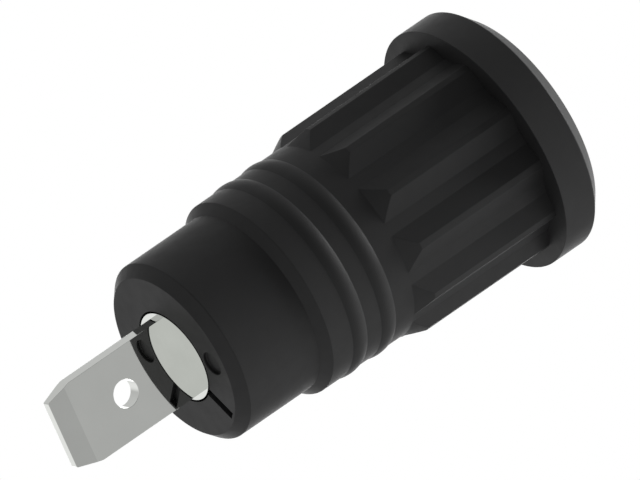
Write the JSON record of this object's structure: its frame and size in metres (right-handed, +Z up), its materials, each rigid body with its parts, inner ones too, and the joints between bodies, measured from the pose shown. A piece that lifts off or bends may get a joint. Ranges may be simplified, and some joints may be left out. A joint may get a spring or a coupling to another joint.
{
  "type": "panel safety socket",
  "caption": "Round press-in panel socket: flanged, ribbed black body round a shrouded 4 mm plug contact, with a flat push-on tab at the back.",
  "frame": {"origin": "on the socket's axis, in the plane where the back of the flange seats on the panel", "axes": "+Y back along the axis to the tab, -Y out of the front where the plug enters, +Z up along the tab's width, +X across the tab's thickness"},
  "size_m": [0.0144, 0.0322, 0.0144],
  "materials": {
    "housing_plastic": "moulded black polyamide, matte",
    "guard_plastic": "moulded black polyamide, smoother than the body",
    "nickel_plate": "turned brass, bright nickel plated",
    "spring_steel": "bare spring steel",
    "tab_plate": "stamped brass, nickel plated"
  },
  "bodies": {
    "root": {"housing": "housing_plastic", "guard_sleeve": "guard_plastic", "contact_tube": "nickel_plate", "spring_ring": "spring_steel", "blade_tab": "tab_plate"}
  },
  "joints": []
}
